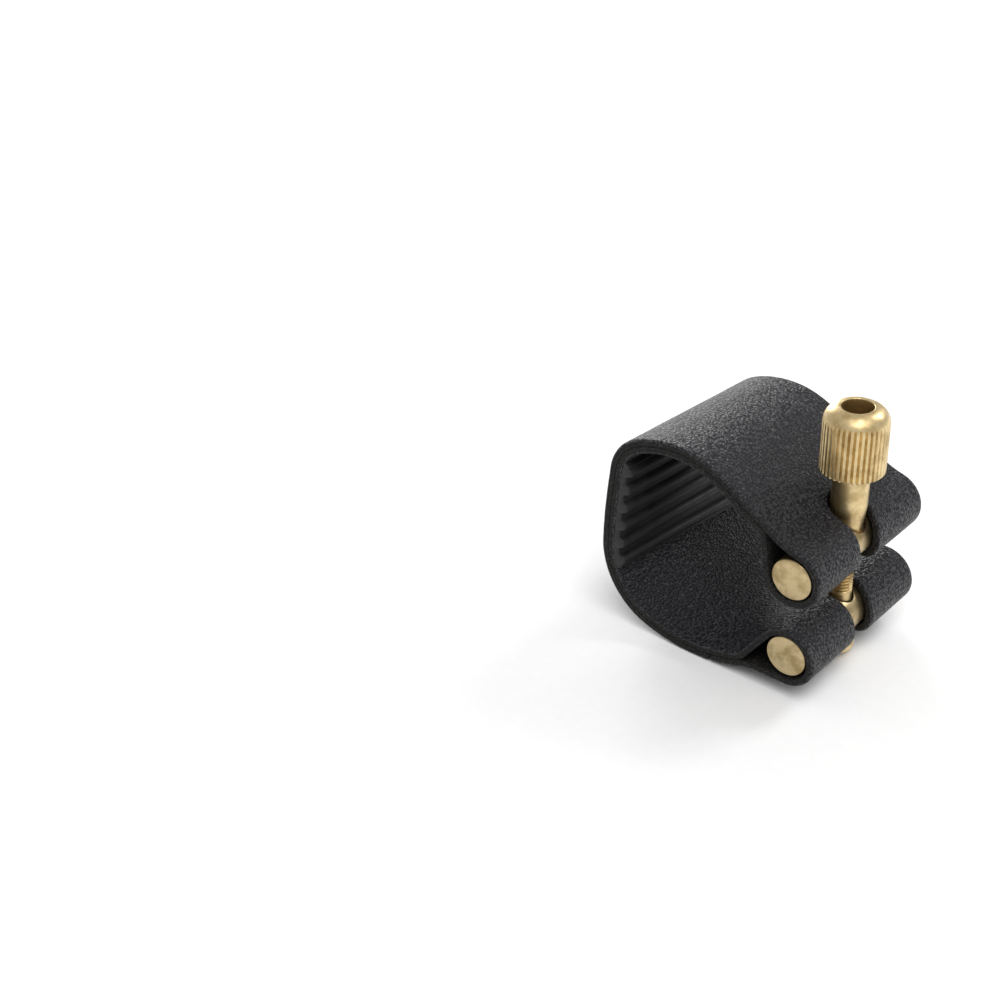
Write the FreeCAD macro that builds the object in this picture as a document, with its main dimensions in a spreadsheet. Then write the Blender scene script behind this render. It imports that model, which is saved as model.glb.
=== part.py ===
import FreeCAD, Part
import math
import os
import Sketcher

# Saxophone ligature: a doubled leather strap bent round the mouthpiece, its two
# looped ends held by brass cross-bars, and one screw that draws the bars together.
#
# Frame, in millimetres: the origin is on the mouthpiece axis, half way along the
# band. Y runs along the mouthpiece, Z is up along the screw, and the bars stand at
# +X with the reed wall opposite them at -X.

DIMENSIONS = {
    # strap
    "ply": 1.05,
    "band_length": 25.8,
    "front_scale": 1.0,
    "rear_scale": 0.93,
    "arm_slope": 33.0,
    "crown_radius": 15.6,
    "crown_turn": 56.0,
    "corner_radius": 7.4,
    "corner_turn": 58.0,
    "wall_turn": 5.3,
    "front_heel_radius": 11.35,
    "rear_heel_radius": 14.0,
    "heel_turn": 72.7,
    "front_belly_radius": 22.6,
    "rear_belly_radius": 18.0,
    "lead_radius": 9.5,
    "lead_turn": 20.3,
    "flap_turn": 29.3,
    "butt_gap": 0.4,
    "hinge_gap": 0.3,
    # loops round the bars
    "loop_slack": 0.3,
    "loop_shift": 0.2,
    "arm_blend": 12.0,
    "flap_heading": 97.0,
    "upper_crease": 1.35,
    "lower_crease": 3.0,
    # slots in the loops: an arc about the screw, then edges that run to the outer side
    "upper_slot_radius": 2.72,
    "upper_slot_front": -2.85,
    "upper_slot_rear": 1.5,
    "lower_slot_radius": 2.8,
    "lower_slot_front": -2.3,
    "lower_slot_rear": 1.7,
    # cross-bars
    "bar_across": 18.5,
    "upper_bar_height": 2.3,
    "lower_bar_height": -9.7,
    "bar_radius": 2.95,
    "bar_rim": 0.25,
    "bar_dome": 0.2,
    "hole_radius": 1.8,
    "screw_offset": 0.5,
    "upper_seat": 1.52,
    "lower_seat": 0.5,
    "seat_radius": 2.5,
    # clamp bolt
    "bolt_radius": 1.42,
    "shoulder_radius": 1.5,
    "shoulder_top": -6.0,
    "bolt_tip": 9.5,
    "tip_chamfer": 0.3,
    "head_radius": 2.4,
    "head_bottom": -15.6,
    "head_round": 0.9,
    # thumb nut
    "nut_top": 21.7,
    "knurl_top": 19.45,
    "knurl_bottom": 12.65,
    "knurl_radius": 4.26,
    "knurl_core": 3.98,
    "knurl_flutes": 38,
    "knurl_ease": 0.2,
    "flute_runout": 0.7,
    "neck_radius": 2.42,
    "neck_taper_top": 7.5,
    "neck_foot_radius": 2.0,
    "cup_radius": 2.07,
    "cup_lip": 0.15,
    "cup_floor": 14.0,
    "nut_hole": 1.56,
    # reed pad
    "pad_base": 0.8,
    "pad_corner_turn": 20.0,
    "pad_length": 17.6,
    "rib_radius": 0.75,
    "rib_rise": 0.15,
    "rib_pitch": 3.0,
    "rib_count": 6,
    "rib_start": 1.35,
}


def make_sheet(doc):
    """The driving dimensions, one aliased cell each."""
    sheet = doc.addObject("Spreadsheet::Sheet", "dims")
    for row, (alias, number) in enumerate(DIMENSIONS.items(), start=1):
        sheet.set("A%d" % row, alias)
        sheet.set("B%d" % row, str(number))
        sheet.setAlias("B%d" % row, alias)
    doc.recompute()
    return sheet


# ---------------------------------------------------------------- tangent chains

def ahead(point, heading, distance):
    """The point at a distance along a heading, in the section's (x, z) plane."""
    angle = math.radians(heading)
    return (point[0] + distance * math.cos(angle), point[1] + distance * math.sin(angle))


def line(length):
    return ("line", length)


def arc(radius, turn):
    return ("arc", radius, turn)


def follow(start, heading, moves, side=0.0):
    """Walk tangent moves; return the edges of the line that far to the left, and the end."""
    edges = []
    point = start
    for move in moves:
        left = ahead(point, heading + 90, side)
        if move[0] == "line":
            point = ahead(point, heading, move[1])
            end = ahead(point, heading + 90, side)
            edges.append(("line", left, end))
            continue
        radius, turn = move[1], move[2]
        hand = math.copysign(1.0, turn)
        centre = ahead(point, heading + 90 * hand, radius)
        first = heading - 90 * hand
        point = ahead(centre, first + turn, radius)
        edges.append(("arc", centre, radius - hand * side, first, first + turn))
        heading += turn
    return edges, point, heading


def edge_ends(edge):
    """First and last point of a chain edge."""
    if edge[0] == "line":
        return edge[1], edge[2]
    centre, radius, first, last = edge[1:]
    return ahead(centre, first, radius), ahead(centre, last, radius)


def ribbon(start, heading, moves, near, far):
    """Closed outline between two offsets of one chain, as sketch geometry."""
    near_edges = follow(start, heading, moves, near)[0]
    far_edges = follow(start, heading, moves, far)[0]
    first_cap = ("line", edge_ends(far_edges[0])[0], edge_ends(near_edges[0])[0])
    last_cap = ("line", edge_ends(near_edges[-1])[1], edge_ends(far_edges[-1])[1])
    return [first_cap] + near_edges + [last_cap] + far_edges[::-1]


def sketch_geometry(edge):
    """A chain edge as a sketch element."""
    if edge[0] == "line":
        return Part.LineSegment(flat(edge[1]), flat(edge[2]))
    centre, radius, first, last = edge[1:]
    circle = Part.Circle(flat(centre), FreeCAD.Vector(0, 0, 1), radius)
    low, high = sorted((math.radians(first), math.radians(last)))
    return Part.ArcOfCircle(circle, low, high)


def flat(point):
    return FreeCAD.Vector(point[0], point[1], 0)


# ---------------------------------------------------------------- the strap's section

class Section:
    """The strap's cross-section at one end of the band, where scale sizes its bow."""

    def __init__(self, sheet, end):
        self.value = sheet.get
        self.scale = scale = self.value(end + "_scale")
        self.heel_radius = self.value(end + "_heel_radius")
        self.belly_radius = self.value(end + "_belly_radius")
        self.ply = self.value("ply")
        self.loop_inner = self.value("bar_radius") + self.value("loop_slack")
        self.loop_outer = self.loop_inner + self.ply
        bar_x = self.value("bar_across")
        self.upper_loop = (bar_x, self.value("upper_bar_height") + self.value("loop_shift"))
        self.lower_loop = (bar_x, self.value("lower_bar_height") - self.value("loop_shift") / 2)
        self.half_gap = math.degrees(
            self.value("hinge_gap") / 2 / (self.value("corner_radius") * scale - self.ply))
        self.set_arm()
        self.set_bow()

    def set_arm(self):
        """The straight arm: tangent to the crown, and blended onto the upper loop."""
        slope = math.radians(self.value("arm_slope"))
        loop_x, loop_z = self.upper_loop
        drop = self.value("crown_radius") - loop_x * math.sin(slope) - loop_z * math.cos(slope)
        reach = loop_x * math.cos(slope) - loop_z * math.sin(slope)
        blend = self.value("arm_blend")
        span = blend + self.loop_outer
        run_in = math.sqrt(span ** 2 - (blend + drop) ** 2)
        self.blend_turn = math.degrees(math.asin(run_in / span))
        self.arm_length = (reach - run_in) * self.scale
        self.arm_heading = 180 - self.value("arm_slope")
        self.leave_heading = self.arm_heading + self.blend_turn
        self.leave_point = ahead(self.upper_loop, self.leave_heading - 90, self.loop_outer)

    def arm_moves(self):
        """From the upper loop along the arm and crown to the middle of the corner."""
        value, scale = self.value, self.scale
        return [
            arc(value("arm_blend"), -self.blend_turn),
            line(self.arm_length),
            arc(value("crown_radius") * scale, value("crown_turn")),
            arc(value("corner_radius") * scale, value("corner_turn") / 2),
        ]

    def wall_moves(self, wall_length):
        """From the middle of the corner down the wall and the heel to the belly."""
        value, scale = self.value, self.scale
        return [
            arc(value("corner_radius") * scale, value("corner_turn") / 2 - self.half_gap),
            arc(wall_length / math.radians(value("wall_turn")), value("wall_turn")),
            arc(self.heel_radius, value("heel_turn")),
        ]

    def belly_turn(self):
        """Whatever turn is left, so that the strap reaches the lower bar level."""
        value = self.value
        turned = value("crown_turn") + value("corner_turn") + value("wall_turn")
        turned += value("heel_turn") - value("lead_turn")
        return 360 - self.arm_heading - turned

    def belly_moves(self):
        value, scale = self.value, self.scale
        return [
            arc(self.belly_radius, self.belly_turn()),
            arc(value("lead_radius") * scale, -value("lead_turn")),
        ]

    def set_bow(self):
        """Start of the wall half, and the wall length that meets the lower loop."""
        _, point, heading = follow(self.leave_point, self.leave_heading, self.arm_moves())
        corner = self.value("corner_radius") * self.scale
        centre = ahead(point, heading + 90, corner)
        self.wall_heading = heading + self.half_gap
        self.wall_point = ahead(centre, self.wall_heading - 90, corner)
        target = self.lower_loop[1] - self.loop_outer
        ends = []
        for length in (1.0, 2.0):
            moves = self.wall_moves(length) + self.belly_moves()
            ends.append(follow(self.wall_point, self.wall_heading, moves)[1])
        self.wall_length = 1.0 + (target - ends[0][1]) / (ends[1][1] - ends[0][1])
        moves = self.wall_moves(self.wall_length) + self.belly_moves()
        end = follow(self.wall_point, self.wall_heading, moves)[1]
        self.floor_length = self.lower_loop[0] - end[0]

    def arm_outer(self):
        """Outer ply: round the upper bar, then over the arm and crown to the hinge."""
        wrap_from = self.value("flap_heading") + 90
        wrap = 360 + self.leave_heading - 90 - wrap_from
        start = ahead(self.upper_loop, wrap_from, self.loop_outer)
        moves = [arc(self.loop_outer, wrap)] + self.arm_moves()
        moves[-1] = arc(moves[-1][1], moves[-1][2] - self.half_gap)
        return ribbon(start, wrap_from + 90, moves, 0, self.ply)

    def arm_inner(self):
        """Inner ply: up beside the upper bar, creased, and along under the outer ply."""
        heading = self.value("flap_heading")
        start = ahead(self.upper_loop, heading + 90, self.loop_inner)
        moves = self.arm_moves()
        _, crown, _ = follow(self.leave_point, self.leave_heading, moves[:2])
        crown = ahead(crown, self.arm_heading + 90, self.ply)
        turn = self.arm_heading - heading
        toward = (crown[0] - start[0], crown[1] - start[1])
        sine = math.sin(math.radians(turn))
        aim = math.radians(self.arm_heading)
        rise = (toward[0] * math.sin(aim) - toward[1] * math.cos(aim)) / sine
        crease = ahead(start, heading, rise)
        trim = self.value("upper_crease") * math.tan(math.radians(turn / 2))
        rest = math.dist(crown, crease)
        inner = [
            line(rise - trim),
            arc(self.value("upper_crease"), turn),
            line(rest - trim),
            arc(moves[2][1] - self.ply, moves[2][2]),
            arc(moves[3][1] - self.ply, moves[3][2] - self.half_gap),
        ]
        return ribbon(start, heading, inner, 0, self.ply)

    def belly_parts(self):
        """The belly's turn before the butt joint, across it and after it."""
        first = self.value("flap_turn")
        gap = math.degrees(self.value("butt_gap") / self.belly_radius)
        return first, gap, self.belly_turn() - first - gap

    def wall_outer(self):
        """Outer ply below the hinge: wall, heel and belly to the butt joint."""
        moves = self.wall_moves(self.wall_length)
        moves.append(arc(self.belly_radius, self.belly_parts()[0]))
        return ribbon(self.wall_point, self.wall_heading, moves, 0, self.ply)

    def seam(self):
        """Start and moves of the face where the plies meet, hinge to belly's end."""
        start = ahead(self.wall_point, self.wall_heading + 90, self.ply)
        moves = self.wall_moves(self.wall_length)
        moves += [arc(self.belly_radius, part) for part in self.belly_parts()]
        return start, [arc(move[1] - self.ply, move[2]) for move in moves]

    def wall_inner(self):
        """Inner ply below the hinge: wall, belly, then over and round the lower bar."""
        start, moves = self.seam()
        _, belly_end, heading = follow(start, self.wall_heading, moves)
        crease = self.value("lower_crease")
        centre = ahead(belly_end, heading + 90, crease)
        across = (self.lower_loop[0] - centre[0], self.lower_loop[1] - centre[1])
        bearing = 360 + math.degrees(math.atan2(across[1], across[0]))
        spread = math.hypot(across[0], across[1])
        climb = bearing + math.degrees(math.asin((crease + self.loop_inner) / spread))
        slant = math.sqrt(spread ** 2 - (crease + self.loop_inner) ** 2)
        moves += [
            arc(crease, climb - heading),
            line(slant),
            arc(self.loop_inner, 360 - climb),
            arc(self.loop_inner, -180),
        ]
        return ribbon(start, self.wall_heading, moves, 0, self.ply)

    def belly_flap(self):
        """The strip's end: from under the lower bar back to the butt joint."""
        lead = self.belly_moves()[1]
        moves = [
            line(self.floor_length),
            arc(lead[1] + self.ply, -lead[2]),
            arc(self.belly_radius - self.ply, -self.belly_parts()[2]),
        ]
        start = ahead(self.lower_loop, -90, self.loop_inner)
        return ribbon(start, 180, moves, 0, self.ply)

    def pad_moves(self):
        """The stretch of inner grain face that carries the reed pad."""
        corner, wall, heel = self.wall_moves(self.wall_length)
        skip = corner[2] - self.value("pad_corner_turn")
        centre = ahead(self.wall_point, self.wall_heading + 90, corner[1])
        heading = self.wall_heading + skip
        depth = 2 * self.ply
        start = ahead(centre, heading - 90, corner[1] - depth)
        moves = [
            arc(corner[1] - depth, self.value("pad_corner_turn")),
            arc(wall[1] - depth, wall[2]),
        ]
        rest = self.value("pad_length") - sum(
            radius * math.radians(turned) for _, radius, turned in moves)
        moves.append(arc(heel[1] - depth, math.degrees(rest / (heel[1] - depth))))
        return start, heading, moves

    def pad_base(self):
        start, heading, moves = self.pad_moves()
        return ribbon(start, heading, moves, 0, self.value("pad_base"))

    def rib_centre(self, index):
        """Centre of one rib, spaced along the pad from its upper edge."""
        point, heading, moves = self.pad_moves()
        left = self.value("rib_start") + index * self.value("rib_pitch")
        for _, radius, turn in moves:
            share = min(math.degrees(left / radius), turn)
            _, point, heading = follow(point, heading, [arc(radius, share)])
            left -= math.radians(share) * radius
        return ahead(point, heading + 90, self.value("pad_base") + self.value("rib_rise"))


# ---------------------------------------------------------------- feature helpers

def new_body(doc, label):
    body = doc.addObject("PartDesign::Body", label)
    body.Label = label
    return body


def origin_plane(body, role):
    for feature in body.Origin.OriginFeatures:
        if feature.Role == role:
            return feature
    raise ValueError(role)


def new_sketch(body, name, role, offset=None):
    """A sketch on one of the body's own origin planes, offset by an expression."""
    sketch = body.newObject("Sketcher::SketchObject", name)
    sketch.AttachmentSupport = [(origin_plane(body, role), "")]
    sketch.MapMode = "FlatFace"
    if offset:
        sketch.setExpression("AttachmentOffset.Base.z", offset)
    return sketch


def draw(sketch, elements):
    """Add worked-out geometry and lock it."""
    for element in elements:
        sketch.addConstraint(Sketcher.Constraint("Block", sketch.addGeometry(element, False)))


def draw_circle(sketch, radius, centre=(0, 0)):
    """A circle at the sketch's origin, or fixed elsewhere, with a bound radius."""
    circle = Part.Circle(flat(centre), FreeCAD.Vector(0, 0, 1), 1)
    index = sketch.addGeometry(circle, False)
    if centre == (0, 0):
        sketch.addConstraint(Sketcher.Constraint("Coincident", index, 3, -1, 1))
    else:
        sketch.addConstraint(Sketcher.Constraint("DistanceX", -1, 1, index, 3, centre[0]))
        sketch.addConstraint(Sketcher.Constraint("DistanceY", -1, 1, index, 3, centre[1]))
    driven = sketch.addConstraint(Sketcher.Constraint("Radius", index, 1))
    sketch.setExpression("Constraints[%d]" % driven, radius)


def loft(body, name, front_elements, rear_elements):
    """A straight-sided loft between the band's front and rear ends."""
    front = new_sketch(body, name + "_front", "XZ_Plane", "dims.band_length / 2")
    draw(front, front_elements)
    rear = new_sketch(body, name + "_rear", "XZ_Plane", "-dims.band_length / 2")
    draw(rear, rear_elements)
    feature = body.newObject("PartDesign::AdditiveLoft", name)
    feature.Profile = front
    feature.Sections = [rear]
    feature.Ruled = True
    body.Document.recompute()
    return feature


def turn(body, name, sketch):
    """A full revolution of a half outline about the sketch's vertical axis."""
    feature = body.newObject("PartDesign::Revolution", name)
    feature.Profile = sketch
    feature.ReferenceAxis = (sketch, ["V_Axis"])
    feature.Angle = 360
    body.Document.recompute()
    return feature


def revolve(body, name, outline, rounds):
    """Turn a closed outline about Z; rounds gives the middle point of each curved side."""
    sketch = new_sketch(body, name + "_profile", "XZ_Plane")
    elements = []
    for index, (start, end) in enumerate(zip(outline, outline[1:] + outline[:1])):
        if index in rounds:
            elements.append(Part.Arc(flat(start), flat(rounds[index]), flat(end)))
        else:
            elements.append(Part.LineSegment(flat(start), flat(end)))
    draw(sketch, elements)
    return turn(body, name + "_turned", sketch)


def pocket(body, name, sketch, length=None, reverse=False, both_ways=False):
    """Cut a sketch away, and make sure that it removed something."""
    before = body.Tip.Shape.Volume
    feature = body.newObject("PartDesign::Pocket", name)
    feature.Profile = sketch
    feature.Reversed = reverse
    if both_ways:
        feature.Type = "ThroughAll"
        feature.Midplane = True
    else:
        feature.setExpression("Length", length)
    body.Document.recompute()
    if feature.Shape.Volume >= before - 1e-6:
        raise RuntimeError(name + " removed nothing")
    return feature


# ---------------------------------------------------------------- sub-parts

def make_ply(doc, label, front_edges, rear_edges):
    """One run of leather, lofted from the front of the band to its rear."""
    body = new_body(doc, label)
    front = [sketch_geometry(edge) for edge in front_edges]
    rear = [sketch_geometry(edge) for edge in rear_edges]
    loft(body, label + "_run", front, rear)
    return body


def cut_slot(body, sheet, loop):
    """The round-ended slot that parts a loop in two for the screw."""
    screw = (sheet.get("bar_across"), sheet.get("screw_offset"))
    radius = sheet.get(loop + "_slot_radius")
    front = sheet.get(loop + "_slot_front")
    rear = sheet.get(loop + "_slot_rear")
    outer_side = screw[0] + sheet.get("bar_radius") + sheet.get("loop_slack") + sheet.get("ply")
    mouth = outer_side + sheet.get("bar_radius")
    low = (screw[0], screw[1] - radius)
    high = (screw[0], screw[1] + radius)
    closed_end = (screw[0] - radius, screw[1])
    corners = [
        low, (outer_side, front), (mouth, front), (mouth, rear), (outer_side, rear), high,
    ]
    edges = [Part.LineSegment(flat(a), flat(b)) for a, b in zip(corners, corners[1:])]
    sketch = new_sketch(body, body.Label + "_slot_shape", "XY_Plane")
    draw(sketch, edges + [Part.Arc(flat(high), flat(closed_end), flat(low))])
    pocket(body, body.Label + "_slot", sketch, both_ways=True)


def make_strap(doc, sheet):
    """The leather strip, as the runs that lie between its bends and its hinge."""
    front = Section(sheet, "front")
    rear = Section(sheet, "rear")
    arm_outer = make_ply(doc, "arm_outer_ply", front.arm_outer(), rear.arm_outer())
    arm_inner = make_ply(doc, "arm_inner_ply", front.arm_inner(), rear.arm_inner())
    wall_outer = make_ply(doc, "wall_outer_ply", front.wall_outer(), rear.wall_outer())
    wall_inner = make_ply(doc, "wall_inner_ply", front.wall_inner(), rear.wall_inner())
    belly_flap = make_ply(doc, "belly_flap", front.belly_flap(), rear.belly_flap())
    cut_slot(arm_outer, sheet, "upper")
    cut_slot(wall_inner, sheet, "lower")
    cut_slot(belly_flap, sheet, "lower")
    return [arm_outer, arm_inner, wall_outer, wall_inner, belly_flap]


def make_pad(doc, sheet):
    """The ribbed rubber pad that presses on the reed."""
    front = Section(sheet, "front")
    rear = Section(sheet, "rear")
    body = make_ply(doc, "reed_pad", front.pad_base(), rear.pad_base())
    for index in range(int(sheet.get("rib_count"))):
        ends = []
        for section in (front, rear):
            centre = flat(section.rib_centre(index))
            ends.append([Part.Circle(centre, FreeCAD.Vector(0, 0, 1), sheet.get("rib_radius"))])
        loft(body, "rib_%d" % index, ends[0], ends[1])
    return body


def bar_outline(sheet):
    """Half outline of a cross-bar: plain side, eased rim and faintly domed end."""
    radius = sheet.get("bar_radius")
    rim = sheet.get("bar_rim")
    tip = sheet.get("band_length") / 2
    face = tip - sheet.get("bar_dome")
    flat_spot = rim
    shoulder = (radius - rim, face)
    crest = ((radius - rim) / 2, tip - sheet.get("bar_dome") / 4)
    ease = eased(rim)
    return [
        Part.LineSegment(flat((0, 0)), flat((radius, 0))),
        Part.LineSegment(flat((radius, 0)), flat((radius, face - rim))),
        Part.Arc(flat((radius, face - rim)), flat((radius - ease, face - ease)), flat(shoulder)),
        Part.Arc(flat(shoulder), flat(crest), flat((flat_spot, tip))),
        Part.LineSegment(flat((flat_spot, tip)), flat((0, tip))),
        Part.LineSegment(flat((0, tip)), flat((0, 0))),
    ]


def eased(radius):
    """How far the middle of a quarter round stands in from each of its two sides."""
    return radius * (1 - math.sqrt(0.5))


def make_bar(doc, sheet, label, height, seat, seat_below):
    """A brass cross-bar, turned as two halves, then drilled and seated for the screw."""
    body = new_body(doc, label)
    body.setExpression("Placement.Base.x", "dims.bar_across")
    body.setExpression("Placement.Base.z", "dims." + height)
    sketch = new_sketch(body, label + "_profile", "XY_Plane")
    draw(sketch, bar_outline(sheet))
    turned = turn(body, label + "_turned", sketch)
    other_end = body.newObject("PartDesign::Mirrored", label + "_other_end")
    other_end.Originals = [turned]
    other_end.MirrorPlane = (origin_plane(body, "XZ_Plane"), [""])
    body.Tip = other_end
    doc.recompute()

    screw = (0, sheet.get("screw_offset"))
    drill = new_sketch(body, label + "_drill", "XY_Plane")
    draw_circle(drill, "dims.hole_radius", screw)
    pocket(body, label + "_hole", drill, both_ways=True)

    side = -1 if seat_below else 1
    depth = "%d * (dims.bar_radius - dims.%s)" % (side, seat)
    facing = new_sketch(body, label + "_facing", "XY_Plane", depth)
    draw_circle(facing, "dims.seat_radius", screw)
    pocket(body, label + "_seat", facing, "dims.bar_radius", reverse=not seat_below)
    return body


def make_bolt(doc, sheet):
    """The clamp bolt: round head under the lower bar, plain shoulder, threaded end."""
    body = new_body(doc, "clamp_bolt")
    body.setExpression("Placement.Base.x", "dims.bar_across")
    body.setExpression("Placement.Base.y", "dims.screw_offset")
    value = sheet.get
    shank = value("bolt_radius")
    shoulder = value("shoulder_radius")
    head = value("head_radius")
    bottom = value("head_bottom")
    top = value("lower_bar_height") - value("bar_radius") + value("lower_seat")
    tip = value("bolt_tip")
    chamfer = value("tip_chamfer")
    round_off = value("head_round")
    ease = eased(round_off)
    outline = [
        (0, bottom), (head - round_off, bottom), (head, bottom + round_off), (head, top),
        (shoulder, top), (shoulder, value("shoulder_top")), (shank, value("shoulder_top")),
        (shank, tip - chamfer), (shank - chamfer, tip), (0, tip),
    ]
    revolve(body, "clamp_bolt", outline, {1: (head - ease, bottom + ease)})
    return body


def crown_middle(knurl, low, lip, top):
    """Middle of the crown's arc, which leaves the knurled side without a corner."""
    run = knurl - lip
    rise = top - low
    radius = (run ** 2 + rise ** 2) / (2 * run)
    half_turn = math.atan2(rise, radius - run) / 2
    return (knurl - radius * (1 - math.cos(half_turn)), low + radius * math.sin(half_turn))


def make_nut(doc, sheet):
    """The thumb nut: fluted head with a domed, cupped crown, on a neck tapered at its foot."""
    body = new_body(doc, "thumb_nut")
    body.setExpression("Placement.Base.x", "dims.bar_across")
    body.setExpression("Placement.Base.y", "dims.screw_offset")
    value = sheet.get
    foot = value("upper_bar_height") + value("bar_radius") - value("upper_seat")
    neck = value("neck_radius")
    knurl = value("knurl_radius")
    low = value("knurl_bottom")
    high = value("knurl_top")
    top = value("nut_top")
    cup = value("cup_radius")
    floor = value("cup_floor")
    lip = value("cup_lip")
    hole = value("nut_hole")
    bevel = value("knurl_ease")
    outline = [
        (hole, foot), (value("neck_foot_radius"), foot),
        (neck, value("neck_taper_top")), (neck, low),
        (knurl - bevel, low), (knurl, low + bevel), (knurl, high),
        (cup + lip, top), (cup, top - lip), (cup, floor), (hole, floor),
    ]
    ease = eased(lip)
    rounds = {6: crown_middle(knurl, high, cup + lip, top), 7: (cup + ease, top - ease)}
    revolve(body, "thumb_nut", outline, rounds)
    cut_flutes(body, sheet)
    return body


def cut_flutes(body, sheet):
    """The straight knurl: one V-shaped flute, repeated round the nut's head."""
    core = sheet.get("knurl_core")
    count = int(sheet.get("knurl_flutes"))
    mouth = 2 * sheet.get("knurl_radius") - core
    half = math.pi * mouth / count
    flute = new_sketch(body, "flute_shape", "XY_Plane", "dims.knurl_bottom - dims.knurl_ease")
    corners = [(core, 0), (mouth, half), (mouth, -half)]
    draw(flute, [
        Part.LineSegment(flat(start), flat(end))
        for start, end in zip(corners, corners[1:] + corners[:1])
    ])
    length = "dims.knurl_top + dims.flute_runout - dims.knurl_bottom + dims.knurl_ease"
    cut = pocket(body, "flute", flute, length, reverse=True)
    before = cut.Shape.Volume
    ring = body.newObject("PartDesign::PolarPattern", "flutes")
    ring.Originals = [cut]
    ring.Axis = (flute, ["N_Axis"])
    ring.Angle = 360
    ring.Occurrences = count
    body.Tip = ring
    body.Document.recompute()
    if ring.Shape.Volume >= before:
        raise RuntimeError("the flutes were not repeated")


def check(doc, bodies):
    """Stop on any failed feature or empty shape."""
    for item in doc.Objects:
        if "Invalid" in item.State or "Error" in item.State:
            raise RuntimeError("failed feature: " + item.Name)
    for body in bodies:
        if body.Shape.isNull() or not body.Shape.isValid():
            raise RuntimeError("bad shape: " + body.Label)


def main():
    doc = FreeCAD.newDocument("ligature")
    sheet = make_sheet(doc)
    bodies = make_strap(doc, sheet)
    bodies.append(make_pad(doc, sheet))
    bodies.append(make_bar(doc, sheet, "upper_bar", "upper_bar_height", "upper_seat", False))
    bodies.append(make_bar(doc, sheet, "lower_bar", "lower_bar_height", "lower_seat", True))
    bodies.append(make_bolt(doc, sheet))
    bodies.append(make_nut(doc, sheet))
    doc.recompute()
    check(doc, bodies)
    os.makedirs("parts", exist_ok=True)
    for body in bodies:
        body.Shape.exportStep(os.path.join("parts", body.Label + ".step"))
        box = body.Shape.BoundBox
        print("%-15s %9.2f mm3  x %.2f..%.2f  y %.2f..%.2f  z %.2f..%.2f" % (
            body.Label, body.Shape.Volume, box.XMin, box.XMax, box.YMin, box.YMax, box.ZMin, box.ZMax))


main()
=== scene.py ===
import math

import bmesh
import bpy
import numpy as np
from mathutils import Matrix, Vector, noise


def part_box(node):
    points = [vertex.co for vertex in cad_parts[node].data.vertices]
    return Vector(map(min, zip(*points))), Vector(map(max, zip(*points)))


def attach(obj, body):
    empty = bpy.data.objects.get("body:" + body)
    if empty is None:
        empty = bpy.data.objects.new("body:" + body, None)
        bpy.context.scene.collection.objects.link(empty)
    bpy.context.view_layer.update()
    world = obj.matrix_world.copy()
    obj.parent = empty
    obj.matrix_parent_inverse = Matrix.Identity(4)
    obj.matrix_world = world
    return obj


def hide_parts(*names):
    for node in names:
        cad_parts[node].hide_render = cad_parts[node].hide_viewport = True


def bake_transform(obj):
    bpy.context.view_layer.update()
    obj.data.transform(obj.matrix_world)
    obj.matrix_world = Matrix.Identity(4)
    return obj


# Saxophone ligature: the looks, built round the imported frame. Lengths are in metres and
# angles in degrees. Y runs along the mouthpiece, Z along the screw, +X towards the bars.

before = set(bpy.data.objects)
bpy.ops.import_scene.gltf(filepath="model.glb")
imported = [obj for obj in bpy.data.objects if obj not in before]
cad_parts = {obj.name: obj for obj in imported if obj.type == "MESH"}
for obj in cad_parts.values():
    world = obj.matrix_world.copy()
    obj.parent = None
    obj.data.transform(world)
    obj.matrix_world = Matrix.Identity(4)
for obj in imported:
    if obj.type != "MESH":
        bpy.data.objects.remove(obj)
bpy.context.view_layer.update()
MM = 0.001
ROUNDING = 1e-9

# Camera
CAMERA_PLACE = (0.0993, -0.15102, 0.1106)
CAMERA_AZIMUTH = 43.37
CAMERA_ELEVATION = 31.18
CAMERA_ROLL = -2.66
CAMERA_LENS = 54.0
CAMERA_SENSOR = 36.0

# Light
WORLD_STRENGTH = 0.55
SUN_STRENGTH = 1.5
SUN_SPREAD = 45.0
SUN_FROM = (0.35, -0.30, 0.85)
SOFT_BOXES = {
    "sheen": {"place": (-0.60, 0.48, 0.20), "size": 0.32, "power": 3.0},
    "back": {"place": (0.22, 0.60, 0.54), "size": 0.25, "power": 2.0},
}

# Floor
FLOOR_HALF = 3.0
FLOOR_DROP = 0.05 * MM

# Strap: the tangent chain of the CAD, with a narrower butt joint and a wider upper slot
PLY = 1.05 * MM
FRONT_END = {"scale": 1.0, "heel": 11.35 * MM, "belly": 22.6 * MM}
REAR_END = {"scale": 0.93, "heel": 14.0 * MM, "belly": 18.0 * MM}
ARM_SLOPE = 33.0
ARM_BLEND = 12.0 * MM
CROWN_RADIUS = 15.6 * MM
CROWN_TURN = 56.0
CORNER_RADIUS = 7.4 * MM
CORNER_TURN = 58.0
WALL_TURN = 5.3
HEEL_TURN = 72.7
LEAD_RADIUS = 9.5 * MM
LEAD_TURN = 20.3
FLAP_TURN = 29.3
BUTT_GAP = 0.25 * MM
LOOP_SLACK = 0.3 * MM
LOOP_SHIFT = 0.2 * MM
FLAP_HEADING = 97.0
UPPER_CREASE = 1.35 * MM
LOWER_CREASE = 3.0 * MM
SLOTS = {
    "upper": {"radius": 2.95 * MM, "front": -2.85 * MM, "rear": 1.5 * MM},
    "lower": {"radius": 2.8 * MM, "front": -2.3 * MM, "rear": 1.7 * MM},
}
GLUE_LINE = 0.02 * MM

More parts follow.
